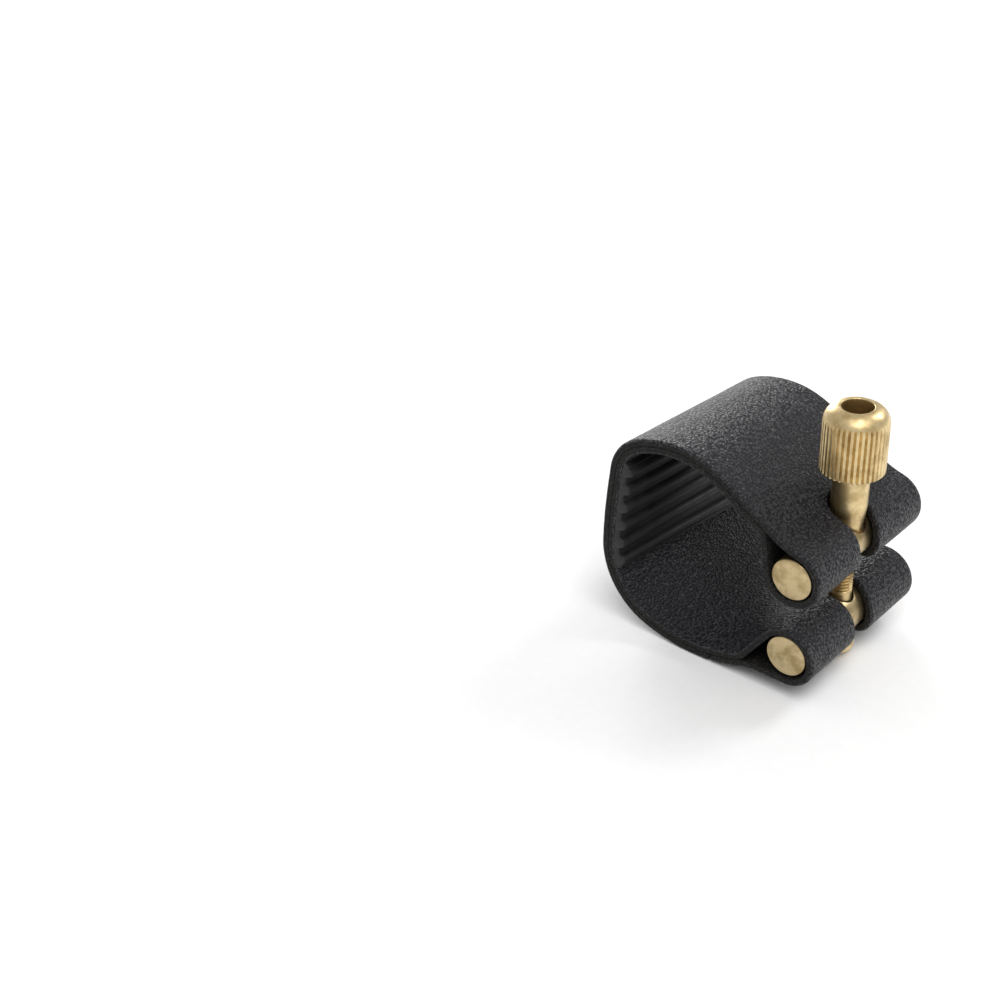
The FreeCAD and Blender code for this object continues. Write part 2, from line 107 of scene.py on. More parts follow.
# Strap's mesh: waves in the hide are (per metre, height)
GRAIN_STEP = 0.3 * MM
GRAIN_EASE = 0.3 * MM
EASE_SHARES = np.array([0, 0.04, 0.16, 0.36, 0.66, 1.0])
FLESH_EASE = 0.1 * MM
FLESH_COLUMNS = 6
EDGE_ROWS = 3
WAVES = ((160.0, 0.05 * MM), (900.0, 0.012 * MM))
WAVE_SEED = 1
WELD_REACH = 1e-7
CROSSING_SAMPLES = 400
SLOT_APPROACH = (1.0, 0.6, 0.3, 0.1)
SLOT_STEP = 9

# Reed pad
PAD_BASE = 0.8 * MM
PAD_CORNER_TURN = 20.0
PAD_LENGTH = 17.6 * MM
RIB_HALF = 0.78 * MM
RIB_HEIGHT = 0.9 * MM
RIB_PITCH = 3.0 * MM
RIB_COUNT = 6
RIB_START = 1.35 * MM
RIB_SQUARENESS = 2.4
RIB_STEPS = 24
PAD_EDGE = ((0.0, 0.3 * MM), (0.1 * MM, 0.09 * MM), (0.3 * MM, 0.0))

# Screw
EDGE_EASE = 0.12 * MM
THREAD_PITCH = 0.5 * MM
THREAD_CREST = 1.5 * MM
THREAD_ROOT = 1.1 * MM
THREAD_START = 0.02 * MM
THREAD_RUNOUT = 0.8 * THREAD_PITCH
THREAD_STEPS = 12
FLANK_GAIN = 1.35
FLANK_DROP = 0.12
TIP_RADIUS = THREAD_ROOT - 0.1 * MM
SHOULDER_RADIUS = 1.5 * MM
SHOULDER_TOP = -6.0 * MM
LOWER_SEAT = 0.5 * MM
HEAD_RADIUS = 2.4 * MM
HEAD_ROUND = 0.9 * MM
KNURL_FLUTES = 38
KNURL_CORE = 3.98 * MM
KNURL_BOTTOM = 12.65 * MM
KNURL_TOP = 19.45 * MM
KNURL_BEVEL = 0.2 * MM
FLUTE_RUNOUT = 0.7 * MM
FLUTE_STEPS = 12
GROOVE_SHARE = 0.5
GROOVE_POWER = 1.5
NECK_RADIUS = 2.42 * MM
NECK_TAPER_TOP = 7.5 * MM
NECK_FOOT = 2.0 * MM
CUP_RADIUS = 2.07 * MM
CUP_LIP = 0.15 * MM
CUP_FLOOR = 14.0 * MM
NUT_HOLE = 1.56 * MM

# Brass: clean and tarnished colour; the bars' pair is a darker copy of the turned pair, which is
# painted shade on the bars
TURNED_TONES = ((0.76, 0.60, 0.33), (0.53, 0.39, 0.19))
SHADED_BAR_TONES = ((0.56, 0.44, 0.25), (0.36, 0.27, 0.13))


# ---------------------------------------------------------------- tangent chains

def ahead(point, heading, distance):
    """The point at a distance along a heading, in the section's (x, z) plane."""
    angle = math.radians(heading)
    return (point[0] + distance * math.cos(angle), point[1] + distance * math.sin(angle))


class Move:
    """One straight run or arc of a chain: radius None is a run of that length."""

    def __init__(self, radius, amount):
        self.radius = radius
        self.amount = amount

    def length(self):
        if self.radius is None:
            return self.amount
        return abs(math.radians(self.amount)) * self.radius

    def part(self, share):
        return Move(self.radius, self.amount * share)

    def go(self, point, heading):
        if self.radius is None:
            return ahead(point, heading, self.amount), heading
        side = math.copysign(90, self.amount)
        centre = ahead(point, heading + side, self.radius)
        heading += self.amount
        return ahead(centre, heading - side, self.radius), heading


def run(length):
    return Move(None, length)


def arc(radius, turn):
    return Move(radius, turn)


def follow(point, heading, moves):
    """Where a chain of moves ends, and its heading there."""
    for move in moves:
        point, heading = move.go(point, heading)
    return point, heading


def bar_centre(node):
    low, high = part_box(node)
    return ((low.x + high.x) / 2, (low.z + high.z) / 2)


class Bow:
    """The strap's section at one end of the band, where scale sizes its bow."""

    def __init__(self, scale, heel, belly):
        low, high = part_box("lower_bar")
        self.scale = scale
        self.heel_radius = heel
        self.belly_radius = belly
        self.loop_inner = (high.z - low.z) / 2 + LOOP_SLACK
        self.loop_outer = self.loop_inner + PLY
        self.upper_loop = ahead(bar_centre("upper_bar"), 90, LOOP_SHIFT)
        self.lower_loop = ahead(bar_centre("lower_bar"), -90, LOOP_SHIFT / 2)
        self.set_arm()
        self.set_wall()

    def set_arm(self):
        """The straight arm: tangent to the crown, and blended onto the upper loop."""
        slope = math.radians(ARM_SLOPE)
        loop_x, loop_z = self.upper_loop
        drop = CROWN_RADIUS - loop_x * math.sin(slope) - loop_z * math.cos(slope)
        reach = loop_x * math.cos(slope) - loop_z * math.sin(slope)
        span = ARM_BLEND + self.loop_outer
        run_in = math.sqrt(span ** 2 - (ARM_BLEND + drop) ** 2)
        blend_turn = math.degrees(math.asin(run_in / span))
        self.arm_heading = 180 - ARM_SLOPE
        self.leave_heading = self.arm_heading + blend_turn
        self.leave_point = ahead(self.upper_loop, self.leave_heading - 90, self.loop_outer)
        self.arm_moves = [
            arc(ARM_BLEND, -blend_turn),
            run((reach - run_in) * self.scale),
            arc(CROWN_RADIUS * self.scale, CROWN_TURN),
            arc(CORNER_RADIUS * self.scale, CORNER_TURN / 2),
        ]

    def wall_down(self, wall_length):
        return [
            arc(CORNER_RADIUS * self.scale, CORNER_TURN / 2),
            arc(wall_length / math.radians(WALL_TURN), WALL_TURN),
            arc(self.heel_radius, HEEL_TURN),
        ]

    def set_wall(self):
        """The wall length that brings the belly level with the lower loop."""
        self.corner, self.corner_heading = follow(
            self.leave_point, self.leave_heading, self.arm_moves)
        turned = CROWN_TURN + CORNER_TURN + WALL_TURN + HEEL_TURN - LEAD_TURN
        self.belly = arc(self.belly_radius, 360 - self.arm_heading - turned)
        self.lead = arc(LEAD_RADIUS * self.scale, -LEAD_TURN)
        target = self.lower_loop[1] - self.loop_outer
        trials = (1.0 * MM, 2.0 * MM)
        ends = [self.belly_end(length)[1] for length in trials]
        slope = (ends[1] - ends[0]) / (trials[1] - trials[0])
        wall_length = trials[0] + (target - ends[0]) / slope
        self.wall_moves = self.wall_down(wall_length)
        self.floor_length = self.lower_loop[0] - self.belly_end(wall_length)[0]

    def belly_end(self, wall_length):
        moves = self.wall_down(wall_length) + [self.belly, self.lead]
        return follow(self.corner, self.corner_heading, moves)[0]

    def outer_arm(self):
        """Grain path from under the upper bar, round it and over to the corner."""
        start_angle = FLAP_HEADING + 90
        start = ahead(self.upper_loop, start_angle, self.loop_outer)
        wrap = arc(self.loop_outer, 270 + self.leave_heading - start_angle)
        return start, start_angle + 90, [wrap] + self.arm_moves

    def outer_wall(self):
        """Grain path from the corner down the wall and belly to the butt joint."""
        moves = self.wall_moves + [arc(self.belly.radius, FLAP_TURN)]
        return self.corner, self.corner_heading, moves

    def inner_arm(self):
        """Glued face of the inner ply, from beside the upper bar to the corner."""
        heading = FLAP_HEADING
        start = ahead(self.upper_loop, heading + 90, self.loop_inner)
        crown = follow(self.leave_point, self.leave_heading, self.arm_moves[:2])[0]
        crown = ahead(crown, self.arm_heading + 90, PLY)
        turn = self.arm_heading - heading
        aim = math.radians(self.arm_heading)
        toward = (crown[0] - start[0], crown[1] - start[1])
        rise = toward[0] * math.sin(aim) - toward[1] * math.cos(aim)
        rise /= math.sin(math.radians(turn))
        rest = math.dist(crown, ahead(start, heading, rise))
        trim = UPPER_CREASE * math.tan(math.radians(turn / 2))
        moves = [run(rise - trim), arc(UPPER_CREASE, turn), run(rest - trim)]
        moves += [arc(move.radius - PLY, move.amount) for move in self.arm_moves[2:]]
        return start, heading, moves

    def inner_wall(self):
        """Glued face of the inner ply, down the wall, over and round the lower bar."""
        start = ahead(self.corner, self.corner_heading + 90, PLY)
        moves = [arc(m.radius - PLY, m.amount) for m in self.wall_moves + [self.belly]]
        belly_end, heading = follow(start, self.corner_heading, moves)
        centre = ahead(belly_end, heading + 90, LOWER_CREASE)
        across = (self.lower_loop[0] - centre[0], self.lower_loop[1] - centre[1])
        bearing = 360 + math.degrees(math.atan2(across[1], across[0]))
        spread = math.hypot(*across)
        reach = LOWER_CREASE + self.loop_inner
        climb = bearing + math.degrees(math.asin(reach / spread))
        moves += [
            arc(LOWER_CREASE, climb - heading),
            run(math.sqrt(spread ** 2 - reach ** 2)),
            arc(self.loop_inner, 180 - climb),
        ]
        return start, self.corner_heading, moves

    def flap(self):
        """Glued face of the strip's end, from under the lower bar to the butt joint."""
        gap = math.degrees(BUTT_GAP / self.belly.radius)
        moves = [
            run(self.floor_length),
            arc(self.lead.radius + PLY, -self.lead.amount),
            arc(self.belly.radius - PLY, -(self.belly.amount - FLAP_TURN - gap)),
        ]
        return ahead(self.lower_loop, -90, self.loop_inner), 180, moves

    def pad(self):
        """The stretch of inner grain face that carries the reed pad."""
        corner, wall, heel = self.wall_moves
        depth = 2 * PLY
        centre = ahead(self.corner, self.corner_heading + 90, corner.radius)
        heading = self.corner_heading + corner.amount - PAD_CORNER_TURN
        start = ahead(centre, heading - 90, corner.radius - depth)
        moves = [arc(corner.radius - depth, PAD_CORNER_TURN), arc(wall.radius - depth, wall.amount)]
        rest = PAD_LENGTH - sum(move.length() for move in moves)
        moves.append(arc(heel.radius - depth, math.degrees(rest / (heel.radius - depth))))
        return start, heading, moves


# ---------------------------------------------------------------- mesh helpers

def new_piece(name, vertices, faces, *materials, material_index=None, smooth_angle=35.0):
    """A smooth-shaded mesh object, linked and with its materials."""
    mesh = bpy.data.meshes.new(name)
    mesh.from_pydata([tuple(v) for v in vertices], [], faces)
    for material in materials:
        mesh.materials.append(material)
    if material_index is not None:
        mesh.polygons.foreach_set("material_index", material_index)
    mesh.polygons.foreach_set("use_smooth", [True] * len(mesh.polygons))
    mesh.set_sharp_from_angle(angle=math.radians(smooth_angle))
    mesh.validate()
    piece = bpy.data.objects.new(name, mesh)
    bpy.context.scene.collection.objects.link(piece)
    return piece


def eased_drop(distance, radius):
    """How far a rounded-over face lies below its plane, this far from its edge."""
    inside = np.clip(1 - distance / radius, 0, 1)
    return radius * (1 - np.sqrt(1 - inside ** 2))


# ---------------------------------------------------------------- the strap

class Strip:
    """Stations along the strip of leather, each with its glued face at both band ends."""

    def __init__(self, front, rear):
        self.front = front
        self.rear = rear
        self.rows = []
        self.slots = []

    def add(self, path, backwards, slot=None):
        """Sample one of Bow's paths; backwards ones are walked from their far end."""
        paths = [path(bow) for bow in (self.front, self.rear)]
        rows = []
        states = [(start, heading) for start, heading, _ in paths]
        for index in range(len(paths[0][2])):
            pair = [path[2][index] for path in paths]
            shares = self.shares(states, pair, slot)
            for share in shares:
                row = []
                for move, (point, heading) in zip(pair, states):
                    at, toward = move.part(share).go(point, heading)
                    row.append(self.face_row(at, toward, backwards))
                rows.append(row)
            states = [move.go(*state) for move, state in zip(pair, states)]
        if backwards:
            rows.reverse()
        if self.rows:
            rows = rows[1:]
        self.rows += rows
        self.slots += [slot] * len(rows)

    @staticmethod
    def face_row(point, heading, backwards):
        """Glued-face point and the unit vector from it towards the grain."""
        if backwards:
            point = ahead(point, heading + 90, PLY)
            grain = ahead((0, 0), heading - 90, 1)
        else:
            grain = ahead((0, 0), heading + 90, 1)
        return point + grain

    def shares(self, states, pair, slot):
        """Even shares of a move, with more about the slot's closed end."""
        length = max(move.length() for move in pair)
        count = max(2, math.ceil(length / GRAIN_STEP))
        shares = list(np.linspace(0, 1, count + 1))
        if slot:
            shares += self.slot_shares(states[0], pair[0], SLOTS[slot]["radius"])
        return sorted(set(np.round(shares, 6)))

    @staticmethod
    def slot_shares(state, move, radius):
        """Shares where the move crosses the slot's round end, closely spaced."""
        fine = np.linspace(0, 1, CROSSING_SAMPLES)
        x = np.array([move.part(share).go(*state)[0][0] for share in fine])
        centre = screw_axis()[0]
        wanted = [centre - radius - GRAIN_EASE * share for share in SLOT_APPROACH]
        wanted += [centre - radius * math.cos(math.radians(a)) for a in range(0, 90, SLOT_STEP)]
        found = []
        for level in wanted:
            crossing = np.nonzero((x[:-1] - level) * (x[1:] - level) <= 0)[0]
            found += [
                fine[i] + (level - x[i]) / (x[i + 1] - x[i] or 1) * (fine[i + 1] - fine[i])
                for i in crossing
            ]
        return found

    def arrays(self):
        rows = np.array(self.rows, float)
        return rows[:, 0], rows[:, 1]


class SlotEdges:
    """Where each station's leather stops at its slot, in front of it and behind it."""

    def __init__(self, slots, x):
        self.across, self.along = screw_axis()
        self.radius = np.array([SLOTS[slot]["radius"] if slot else 0.0 for slot in slots])
        self.past = x - self.across
        half = np.sqrt(np.clip(self.radius ** 2 - np.minimum(self.past, 0) ** 2, 0, None))
        loop = (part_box("upper_bar")[1].x - self.across) + LOOP_SLACK + PLY
        share = np.clip(self.past / loop, 0, 1)
        sides = []
        for key, hand in (("front", -1), ("rear", 1)):
            mouth = np.array([SLOTS[slot][key] if slot else self.along for slot in slots])
            round_end = self.along + hand * half
            sides.append(round_end * (1 - share) + mouth * share)
        self.front, self.rear = sides
        self.shut = half < WELD_REACH

    def distance(self, y):
        """How far points are from the slot's edge, one row of them for each station."""
        column = [values[:, None] for values in (self.past, self.radius, self.front, self.rear)]
        past, radius, front, rear = column
        round_end = np.hypot(past, y - self.along) - radius
        straight = np.where(y < self.along, front - y, y - rear)
        gap = np.where(past > 0, straight, round_end)
        gap[self.radius == 0] = 1
        return gap


class HalfSheets:
    """The strap's mesh: a closed sheet for each half of the band's width."""

    def __init__(self, strip):
        self.front, self.rear = strip.arrays()
        self.count = len(self.front)
        self.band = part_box("upper_bar")[1].y
        middle = (self.front + self.rear) / 2
        along = np.concatenate([[0], np.cumsum(np.hypot(*np.diff(middle[:, :2], axis=0).T))])
        self.end_distance = np.minimum(along, along[-1] - along)
        self.edges = SlotEdges(strip.slots, middle[:, 0] + middle[:, 2] * PLY / 2)
        self.vertices = []
        self.faces = []
        self.kinds = []

    def place(self, y, depth):
        """Points of every station at a width y and a height above the glued face."""
        share = ((y / self.band + 1) / 2)[..., None]
        base = self.front[:, None, :] * (1 - share) + self.rear[:, None, :] * share
        flat = base[..., :2] + base[..., 2:] * depth[..., None]
        return np.stack([flat[..., 0], y, flat[..., 1]], -1)

    def edge_distance(self, y):
        """How far each point is from the nearest cut edge."""
        inside = np.minimum(self.band - np.abs(y), self.edges.distance(y))
        return np.minimum(inside, self.end_distance[:, None])

    def columns(self, side):
        """Widths of the grain's columns at each station, close together at both edges."""
        inner = self.edges.front if side < 0 else self.edges.rear
        span = (self.band - side * inner)[:, None]
        close = GRAIN_EASE * EASE_SHARES
        spread = np.linspace(0, 1, int(self.band / GRAIN_STEP) - len(close))
        even = close[-1] + (span - 2 * close[-1]) * spread[None, 1:-1]
        shares = np.concatenate(
            [np.repeat(close[None, :], self.count, 0), even, span - close[::-1][None, :]], 1)
        return side * (self.band - shares)

    def outlines(self, y):
        """Each station's closed outline: cut edge, grain, cut edge at the slot, flesh."""
        grain = self.place(y, PLY - eased_drop(self.edge_distance(y), GRAIN_EASE))
        last = y.shape[1] - 1
        rim = len(EASE_SHARES) - 1
        middle = np.linspace(rim, last - rim, FLESH_COLUMNS).astype(int)
        flesh_y = y[:, [0, 2, 4, *middle, last - 4, last - 2, last]]
        lift = eased_drop(self.edge_distance(flesh_y), FLESH_EASE)
        flesh = self.place(flesh_y, GLUE_LINE + lift)
        heights = np.linspace(PLY - GRAIN_EASE, GLUE_LINE + FLESH_EASE, EDGE_ROWS + 2)[1:-1]
        walls = []
        for column in (0, -1):
            wall_y = np.repeat(y[:, column][:, None], EDGE_ROWS, 1)
            walls.append(self.place(wall_y, np.repeat(heights[None, :], self.count, 0)))
        return np.concatenate([walls[0][:, ::-1], grain, walls[1], flesh[:, ::-1]], 1)

    def add(self, side):
        """One half sheet, left open along the screw's plane where no slot parts it."""
        y = self.columns(side)
        rings = self.outlines(y)
        first = len(self.vertices)
        width = rings.shape[1]
        self.vertices += list(rings.reshape(-1, 3))
        seam_from = EDGE_ROWS + y.shape[1] - 1
        seam_to = seam_from + EDGE_ROWS + 1
        for i in range(self.count - 1):
            shut = self.edges.shut[i] and self.edges.shut[i + 1]
            for k in range(width):
                if shut and seam_from <= k < seam_to:
                    continue
                a = first + i * width + k
                b = first + i * width + (k + 1) % width
                quad = (a, b, b + width, a + width)
                self.faces.append(quad if side < 0 else quad[::-1])
                self.kinds.append(0 if EDGE_ROWS - 1 < k < seam_from else 1)
        for i in (0, self.count - 1):
            cap = [first + i * width + k for k in range(width) if not seam_from < k < seam_to]
            self.faces.append(cap if (side < 0) == (i > 0) else cap[::-1])
            self.kinds.append(1)


def build_strap(leather, cut_edge):
    """The strip as one mesh: two half-width sheets that meet, or part at the slots."""
    strip = Strip(Bow(**FRONT_END), Bow(**REAR_END))
    strip.add(Bow.outer_wall, True)
    strip.add(Bow.outer_arm, True, "upper")
    strip.add(Bow.inner_arm, False)
    strip.add(Bow.inner_wall, False, "lower")
    strip.add(Bow.flap, False, "lower")
    sheets = HalfSheets(strip)
    for side in (-1, 1):
        sheets.add(side)
    piece = new_piece("leather_strap", rough_up(sheets.vertices), sheets.faces, leather, cut_edge,
                      material_index=sheets.kinds, smooth_angle=50.0)
    weld(piece)
    blend_strap(piece)
    return piece


def rough_up(vertices):
    """Slow waves in the hide, so that light doesn't slide over it evenly."""
    noise.seed_set(WAVE_SEED)
    moved = []
    for vertex in vertices:
        point = Vector(vertex)
        place = point.copy()
        for per_metre, height in WAVES:
            place += noise.noise_vector(point * per_metre) * height
        moved.append(place)
    return moved


def weld(piece):
    """Join vertices that meet, drop slivers and turn all faces outward."""
    sheet = bmesh.new()
    sheet.from_mesh(piece.data)
    bmesh.ops.remove_doubles(sheet, verts=sheet.verts, dist=WELD_REACH)
    bmesh.ops.dissolve_degenerate(sheet, edges=sheet.edges, dist=WELD_REACH / 10)
    bmesh.ops.recalc_face_normals(sheet, faces=sheet.faces)
    sheet.to_mesh(piece.data)
    sheet.free()


def blend_strap(piece):
    """Bake the strap's transform into its mesh. Below its tight corner is the wall, above it the
    arm; the mesh stays one piece.
    """
    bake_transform(piece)


# ---------------------------------------------------------------- the reed pad

def build_pad(rubber):
    """The ribbed pad, with rounded ribs and eased ends, on the strap's inner face."""
    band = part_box("reed_pad")[1].y
    distances = np.linspace(0, PAD_LENGTH, math.ceil(PAD_LENGTH / RIB_PITCH * RIB_STEPS) + 1)
    paths = []
    for bow in (Bow(**FRONT_END), Bow(**REAR_END)):
        start, heading, moves = bow.pad()
        paths.append([walk_to(start, heading, moves, distance) for distance in distances])
    edge = [(inset - band, drop) for inset, drop in PAD_EDGE]
    columns = edge + [(0.0, 0.0)] + [(-y, drop) for y, drop in reversed(edge)]
    vertices = []
    for states, height in zip(zip(*paths), PAD_BASE + rib_rise(distances)):
        for depth, easing in ((height, 1), (0.0, 0)):
            for y, drop in columns:
                share = (y / band + 1) / 2
                front, rear = (
                    ahead(point, heading + 90, depth - drop * easing) for point, heading in states)
                x, z = (a * (1 - share) + b * share for a, b in zip(front, rear))
                vertices.append((x, y, z))
    faces = ring_faces(len(distances), len(columns))
    piece = new_piece("ribbed_reed_pad", vertices, faces, rubber, smooth_angle=50.0)
    weld(piece)
    return piece


def rib_rise(distances):
    """How far the ribs stand up at each distance along the pad."""
    rise = np.zeros(len(distances))
    for index in range(RIB_COUNT):
        off = np.abs(distances - RIB_START - index * RIB_PITCH) / RIB_HALF
        rise = np.maximum(rise, RIB_HEIGHT * np.sqrt(np.clip(1 - off ** RIB_SQUARENESS, 0, 1)))
    return rise


def ring_faces(stations, wide):
    """Faces of a bar whose stations each have a top row and a foot row, with its ends."""
    ring = list(range(wide)) + list(range(2 * wide - 1, wide - 1, -1))
    faces = []
    for i in range(stations - 1):
        a, b = 2 * wide * i, 2 * wide * (i + 1)
        for j, n in zip(ring, ring[1:] + ring[:1]):
            faces.append((a + j, a + n, b + n, b + j))
    last = 2 * wide * (stations - 1)
    faces.append(ring[::-1])
    faces.append([last + j for j in ring])
    return faces


def walk_to(point, heading, moves, distance):
    """Point and heading this far along a chain of moves."""
    for move in moves:
        length = move.length()
        if distance <= length + ROUNDING:
            return move.part(distance / length).go(point, heading)
        point, heading = move.go(point, heading)
        distance -= length
    return point, heading


# ---------------------------------------------------------------- turned pieces

def lathe(name, rows, columns, material, radius_at, axis, closed, smooth_angle=35.0):
    """A turned piece: rows are (radius, height); radius_at(radius, height, angle) cuts it."""
    vertices = []
    starts = []
    for radius, height in rows:
        starts.append(len(vertices))
        if radius == 0:
            vertices.append((axis[0], axis[1], height))
            continue
        for c in range(columns):
            angle = 2 * math.pi * c / columns
            r = radius_at(radius, height, angle)
            vertices.append((axis[0] + r * math.cos(angle), axis[1] + r * math.sin(angle), height))
    faces = []
    pairs = list(zip(range(len(rows)), range(1, len(rows))))
    if closed:
        pairs.append((len(rows) - 1, 0))
    for i, j in pairs:
        a, b = starts[i], starts[j]
        for c in range(columns):
            n = (c + 1) % columns
            if rows[i][0] == 0:
                faces.append((a, b + n, b + c))
            elif rows[j][0] == 0:
                faces.append((a + c, a + n, b))
            else:
                faces.append((a + c, a + n, b + n, b + c))
    return new_piece(name, vertices, faces, material, smooth_angle=smooth_angle)


def screw_axis():
    low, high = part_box("thumb_nut")
    return ((low.x + high.x) / 2, (low.y + high.y) / 2)


def curve_rows(centre, radius, first, last, steps):
    """Rows round an arc of the turned outline, in degrees from outward."""
    rows = []
    for k in range(steps + 1):
        angle = math.radians(first + (last - first) * k / steps)
        rows.append((centre[0] + radius * math.cos(angle), centre[1] + radius * math.sin(angle)))
    return rows


def straight_rows(start, end, steps):
    """Rows of the turned outline after one point, up to and with another."""
    return [
        tuple(a + (b - a) * k / steps for a, b in zip(start, end)) for k in range(1, steps + 1)
    ]


def build_nut(brass):
    """The thumb nut: tapered neck, fluted head, domed crown and deep cup."""
    low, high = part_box("thumb_nut")
    knurl = (high.x - low.x) / 2
    foot = low.z
    top = high.z
    lip = CUP_RADIUS + CUP_LIP
    run_in = knurl - lip
    rise = top - KNURL_TOP
    crown = (run_in ** 2 + rise ** 2) / (2 * run_in)
    crown_turn = math.degrees(math.atan2(rise, crown - run_in))
    bevel = KNURL_BEVEL
    neck_top = KNURL_BOTTOM - bevel
    rows = [(NUT_HOLE, foot), (NECK_FOOT - EDGE_EASE, foot), (NECK_FOOT, foot + EDGE_EASE)]
    rows += straight_rows((NECK_FOOT, foot + EDGE_EASE), (NECK_RADIUS, NECK_TAPER_TOP), 8)
    rows += straight_rows((NECK_RADIUS, NECK_TAPER_TOP), (NECK_RADIUS, neck_top), 8)[:-1]
    rows += curve_rows((NECK_RADIUS + bevel, neck_top), bevel, 180, 90, 4)
    rows += straight_rows((NECK_RADIUS, KNURL_BOTTOM), (knurl, KNURL_BOTTOM), 5)[:-1]
    rows += curve_rows((knurl - bevel, KNURL_BOTTOM + bevel), bevel, -90, 0, 4)
    rows += straight_rows((knurl, KNURL_BOTTOM + bevel), (knurl, KNURL_TOP), 24)[:-1]
    rows += curve_rows((knurl - crown, KNURL_TOP), crown, 0, crown_turn, 40)
    rows += curve_rows((lip, top - CUP_LIP), CUP_LIP, 90, 180, 6)[1:]
    rows += straight_rows((CUP_RADIUS, top - CUP_LIP), (CUP_RADIUS, CUP_FLOOR), 8)
    rows += [(NUT_HOLE, CUP_FLOOR)]
    rows += straight_rows((NUT_HOLE, CUP_FLOOR), (NUT_HOLE, foot), 6)[:-1]
    flute_end = KNURL_TOP + FLUTE_RUNOUT

    def fluted(radius, height, angle):
        """The knurl's rounded ridges and V grooves, cut to one depth."""
        phase = abs((angle * KNURL_FLUTES / (2 * math.pi)) % 1 - 0.5) * 2
        if height > flute_end or radius < KNURL_CORE:
            return radius
        groove = max(0.0, 1 - phase / GROOVE_SHARE)
        depth = (knurl - KNURL_CORE) * (1 - (1 - groove) ** GROOVE_POWER)
        return min(radius, knurl - depth)

    columns = KNURL_FLUTES * FLUTE_STEPS
    return lathe("knurled_thumb_nut", rows, columns, brass, fluted, screw_axis(), True)


def build_bolt(brass):
    """The clamp bolt: rounded head, plain shoulder and a helical M3 thread."""
    low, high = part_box("clamp_bolt")
    bottom, tip = low.z, high.z
    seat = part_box("lower_bar")[0].z + LOWER_SEAT
    head_flat = HEAD_RADIUS - HEAD_ROUND
    shoulder_end = SHOULDER_TOP - EDGE_EASE
    thread_foot = SHOULDER_TOP + THREAD_START
    turns_up = (tip - SHOULDER_TOP) / THREAD_PITCH
    rows = [(0, bottom)]
    rows += straight_rows((0, bottom), (head_flat, bottom), 4)[:-1]
    rows += curve_rows((head_flat, bottom + HEAD_ROUND), HEAD_ROUND, -90, 0, 10)
    rows += curve_rows((HEAD_RADIUS - EDGE_EASE, seat - EDGE_EASE), EDGE_EASE, 0, 90, 3)
    rows += [(SHOULDER_RADIUS, seat)]
    rows += straight_rows((SHOULDER_RADIUS, seat), (SHOULDER_RADIUS, SHOULDER_TOP), 8)[:-1]
    rows += curve_rows((SHOULDER_RADIUS - EDGE_EASE, shoulder_end), EDGE_EASE, 0, 60, 3)
    rows += [(THREAD_CREST, thread_foot)]
    rows += straight_rows(
        (THREAD_CREST, thread_foot), (THREAD_CREST, tip), math.ceil(turns_up * THREAD_STEPS))[:-1]
    rows += [(TIP_RADIUS, tip), (0, tip)]

    def threaded(radius, height, angle):
        """A V thread that fades in above the shoulder and out at the chamfered tip."""
        if height <= SHOULDER_TOP or radius < THREAD_ROOT:
            return radius
        turns = (height / THREAD_PITCH - angle / (2 * math.pi)) % 1
        flank = (1 - abs(2 * turns - 1)) * FLANK_GAIN - FLANK_DROP
        cut = THREAD_ROOT + (THREAD_CREST - THREAD_ROOT) * min(1.0, max(0.0, flank))
        fade = min(1.0, (height - SHOULDER_TOP) / THREAD_RUNOUT)
        chamfer = TIP_RADIUS + (tip - height)
        return min(radius * (1 - fade) + cut * fade, chamfer)

    return lathe("threaded_clamp_bolt", rows, 64, brass, threaded, screw_axis(), False, 30.0)


# ---------------------------------------------------------------- materials

class Nodes:
    """A material's node tree, with short calls for the nodes it uses."""

    def __init__(self, name):
        self.material = bpy.data.materials.new(name)
        self.material.use_nodes = True
        self.tree = self.material.node_tree
        self.shader = self.tree.nodes["Principled BSDF"]

    def add(self, kind, **sockets):
        node = self.tree.nodes.new("ShaderNode" + kind)
        for key, value in sockets.items():
            if key in node.inputs:
                self.feed(node.inputs[key], value)
            else:
                setattr(node, key, value)
        return node

    def feed(self, socket, value):
        if isinstance(value, bpy.types.NodeSocket):
            self.tree.links.new(value, socket)
        else:
            socket.default_value = value

    def place(self, stretch=(1, 1, 1)):
        """Object coordinates in millimetres, stretched."""
        source = self.add("TexCoord").outputs["Object"]
        node = self.add("Mapping", Vector=source)
        node.inputs["Scale"].default_value = [s / MM for s in stretch]
        return node.outputs["Vector"]

    def noise(self, vector, scale, detail=2.0, roughness=0.5):
        node = self.add("TexNoise", Vector=vector, Scale=scale, Detail=detail, Roughness=roughness)
        return node.outputs["Fac"]

    def ramp(self, value, low, high, to_low=0.0, to_high=1.0):
        node = self.add("MapRange", Value=value)
        for key, number in zip(("From Min", "From Max", "To Min", "To Max"),
                               (low, high, to_low, to_high)):
            node.inputs[key].default_value = number
        return node.outputs["Result"]

    def math(self, operation, first, second):
        node = self.add("Math", operation=operation)
        self.feed(node.inputs[0], first)
        self.feed(node.inputs[1], second)
        return node.outputs["Value"]

    def mix(self, share, first, second):
        node = self.add("Mix", data_type="RGBA")
        self.feed(node.inputs["Factor"], share)
        self.feed(node.inputs[6], first if not isinstance(first, tuple) else first + (1.0,))
        self.feed(node.inputs[7], second if not isinstance(second, tuple) else second + (1.0,))
        return node.outputs[2]

    def bump(self, height, strength, distance, below=None):
        node = self.add("Bump", Height=height, Strength=strength, Distance=distance)
        if below is not None:
            self.feed(node.inputs["Normal"], below)
        return node.outputs["Normal"]

    def set(self, **sockets):
        for key, value in sockets.items():
            self.feed(self.shader.inputs[key.replace("_", " ")], value)


